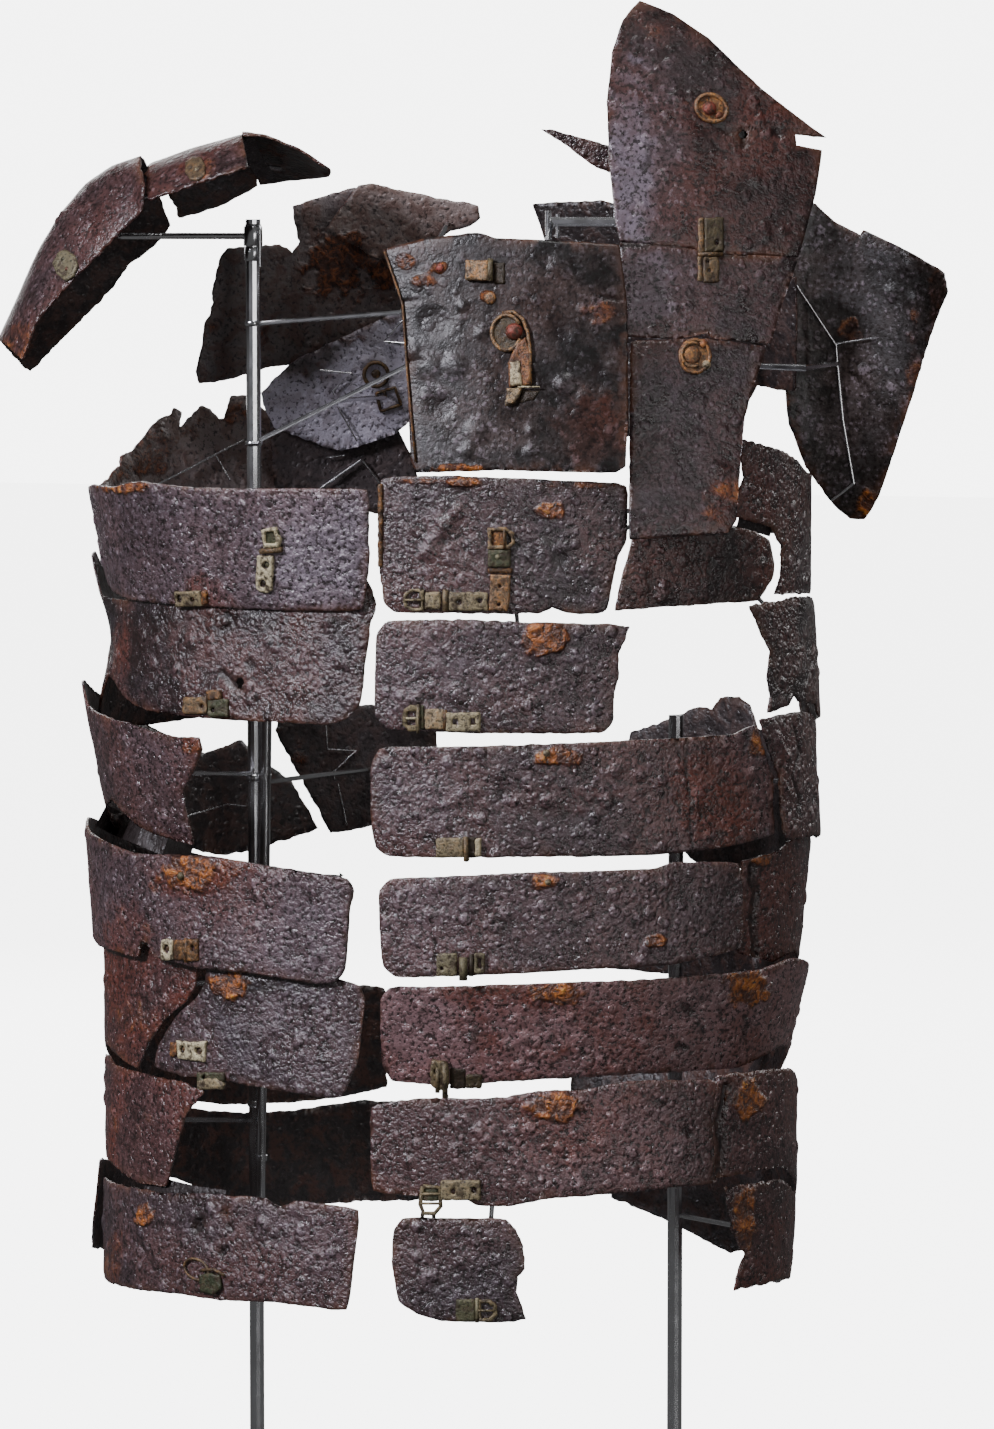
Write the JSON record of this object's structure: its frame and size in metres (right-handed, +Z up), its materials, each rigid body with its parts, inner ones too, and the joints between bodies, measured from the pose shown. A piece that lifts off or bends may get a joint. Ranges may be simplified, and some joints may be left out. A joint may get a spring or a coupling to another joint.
{
  "type": "lorica segmentata on a rod display stand",
  "caption": "Corroded, incomplete segmented iron cuirass of curved girdle hoops, breast, shoulder and back plates with bronze hinges and buckles, on a steel rod stand with a flat base",
  "frame": {"origin": "middle of the flat underside of the stand's base, on the surface that it stands on", "axes": "+Z up from the base to the shoulders, -Y the wearer's front, +X the wearer's left"},
  "size_m": [0.5164, 0.275, 0.882],
  "materials": {
    "iron": "dark brown to purple-black corroded iron, semi-gloss, blistered and pitted, with orange rust patches",
    "bronze": "pale to olive green-brown bronze patina, dull, with worn brighter edges",
    "steel": "bright drawn steel rod, the flat base brushed"
  },
  "bodies": {
    "root": {"r1_front": "iron", "r1_back": "iron", "r2": "iron", "r3_side": "iron", "r3_back": "iron", "r4": "iron", "r5_side": "iron", "r5_front": "iron", "r6": "iron", "r7_front": "iron", "r7_back": "iron", "l1_front": "iron", "l1_mid": "iron", "l1_side": "iron", "l2_front": "iron", "l2_side": "iron", "l3_front": "iron", "l3_side": "iron", "l3_back": "iron", "l4_front": "iron", "l4_side": "iron", "l5": "iron", "l6_front": "iron", "l6_side": "iron", "l7_front": "iron", "l7_side": "iron", "breast_left": "iron", "shoulder_left_front": "iron", "shoulder_left_lower": "iron", "shoulder_left_upper": "iron", "shoulder_left_scrap": "iron", "shoulder_left_outer": "iron", "collar_right": "iron", "blade_right": "iron", "back_right_upper": "iron", "back_right_lower": "iron", "collar_left": "iron", "blade_left": "iron", "shoulder_right_outer": "iron", "shoulder_right_inner": "iron", "shoulder_right_neck": "iron", "r1_hinge": "bronze", "r2_hinge": "bronze", "r4_hinge": "bronze", "r5_hinge": "bronze", "l3_hinge": "bronze", "l4_hinge": "bronze", "l5_hinge": "bronze", "l7_hinge": "bronze", "breast_hinge": "bronze", "shoulder_hinge": "bronze", "r1_buckle": "bronze", "l2_buckle": "bronze", "l6_buckle": "bronze", "l1_buckle": "bronze", "breast_hook": "bronze", "shoulder_rosette": "bronze", "shoulder_disc": "bronze", "stand_base": "steel", "stand_frame": "steel"}
  },
  "joints": []
}
